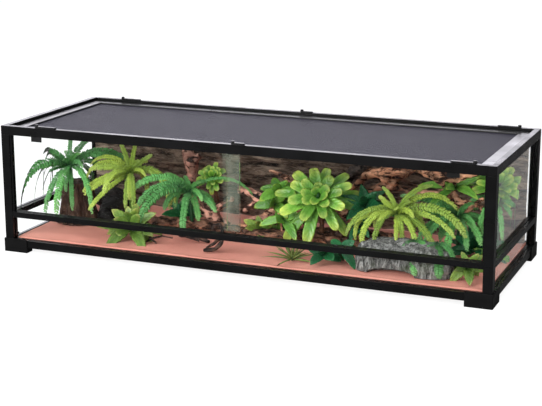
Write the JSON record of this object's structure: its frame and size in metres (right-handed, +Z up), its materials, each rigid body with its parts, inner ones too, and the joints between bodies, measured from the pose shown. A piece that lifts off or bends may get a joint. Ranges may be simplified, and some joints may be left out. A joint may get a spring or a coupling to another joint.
{
  "type": "terrarium cabinet",
  "caption": "Long low glass terrarium in a black frame, with sliding front doors, a lift-out mesh lid, turn latches and a planted sand floor.",
  "frame": {"origin": "on the ground, under the middle of the cabinet", "axes": "+X to the right along the long side, -Y out of the sliding doors, +Z up"},
  "size_m": [1.226, 0.463, 0.3218],
  "materials": {
    "frame_black": "satin powder coat",
    "boot_black": "moulded, satin",
    "latch_black": "moulded, satin",
    "glass": "clear float glass",
    "screen": "fine woven mesh",
    "sand": "fine grain, matt",
    "bark": "rough bark",
    "driftwood": "weathered, dry",
    "rock": "cast stone",
    "fern": "leaf",
    "lime_fern": "leaf",
    "bromeliad": "leaf, satin"
  },
  "bodies": {
    "root": {"bottom_rail_front": "frame_black", "bottom_rail_back": "frame_black", "bottom_rail_left": "frame_black", "bottom_rail_right": "frame_black", "mid_rail_front": "frame_black", "mid_rail_left": "frame_black", "mid_rail_right": "frame_black", "top_rail_front": "frame_black", "top_rail_back": "frame_black", "top_rail_left": "frame_black", "top_rail_right": "frame_black", "post_front_left": "frame_black", "post_front_right": "frame_black", "post_back_left": "frame_black", "post_back_right": "frame_black", "corner_cap_front_left": "frame_black", "corner_cap_front_right": "frame_black", "corner_cap_back_left": "frame_black", "corner_cap_back_right": "frame_black", "foot_front_left": "boot_black", "foot_front_right": "boot_black", "foot_back_left": "boot_black", "foot_back_right": "boot_black", "floor_pane": "glass", "back_pane": "glass", "front_lower_pane": "glass", "left_lower_pane": "glass", "left_upper_pane": "glass", "right_lower_pane": "glass", "right_upper_pane": "glass", "door_jamb_left": "frame_black", "door_jamb_right": "frame_black", "sand_bed": "sand", "bark_backdrop": "bark", "cork_log": "bark", "driftwood": "driftwood", "rock_hide": "rock", "fern_left": "fern", "lime_fern_left": "lime_fern", "lime_fern_right": "lime_fern", "bromeliad_centre": "bromeliad"},
    "door_left": {"door_left": "glass", "door_grip_left": "latch_black"},
    "door_right": {"door_right": "glass", "door_grip_right": "latch_black"},
    "lid": {"lid_strip_front": "frame_black", "lid_strip_back": "frame_black", "lid_strip_left": "frame_black", "lid_strip_right": "frame_black", "lid_corner_front_left": "frame_black", "lid_corner_front_right": "frame_black", "lid_corner_back_left": "frame_black", "lid_corner_back_right": "frame_black", "lid_screen": "screen"},
    "latch_front_left": {"latch_front_left": "latch_black"},
    "latch_front_centre": {"latch_front_centre": "latch_black"},
    "latch_front_right": {"latch_front_right": "latch_black"},
    "latch_back_left": {"latch_back_left": "latch_black"},
    "latch_back_centre": {"latch_back_centre": "latch_black"},
    "latch_back_right": {"latch_back_right": "latch_black"}
  },
  "joints": [
    {"name": "door_left_slide", "type": "slide", "parent": "root", "child": "door_left", "axis": [1, 0, 0], "range_m": [0, 0.565]},
    {"name": "door_right_slide", "type": "slide", "parent": "root", "child": "door_right", "axis": [-1, 0, 0], "range_m": [0, 0.565]},
    {"name": "lid_lift", "type": "slide", "parent": "root", "child": "lid", "axis": [0, 0, 1], "range_m": [0, 0.15]},
    {"name": "latch_front_left_turn", "type": "hinge", "parent": "root", "child": "latch_front_left", "pos_m": [-0.515, -0.2185, 0.315], "axis": [0, 0, 1], "range_deg": [0, 90]},
    {"name": "latch_front_centre_turn", "type": "hinge", "parent": "root", "child": "latch_front_centre", "pos_m": [0, -0.2185, 0.315], "axis": [0, 0, 1], "range_deg": [0, 90]},
    {"name": "latch_front_right_turn", "type": "hinge", "parent": "root", "child": "latch_front_right", "pos_m": [0.56, -0.2185, 0.315], "axis": [0, 0, -1], "range_deg": [0, 90]},
    {"name": "latch_back_left_turn", "type": "hinge", "parent": "root", "child": "latch_back_left", "pos_m": [-0.515, 0.2185, 0.315], "axis": [0, 0, -1], "range_deg": [0, 90]},
    {"name": "latch_back_centre_turn", "type": "hinge", "parent": "root", "child": "latch_back_centre", "pos_m": [0, 0.2185, 0.315], "axis": [0, 0, -1], "range_deg": [0, 90]},
    {"name": "latch_back_right_turn", "type": "hinge", "parent": "root", "child": "latch_back_right", "pos_m": [0.56, 0.2185, 0.315], "axis": [0, 0, 1], "range_deg": [0, 90]}
  ]
}
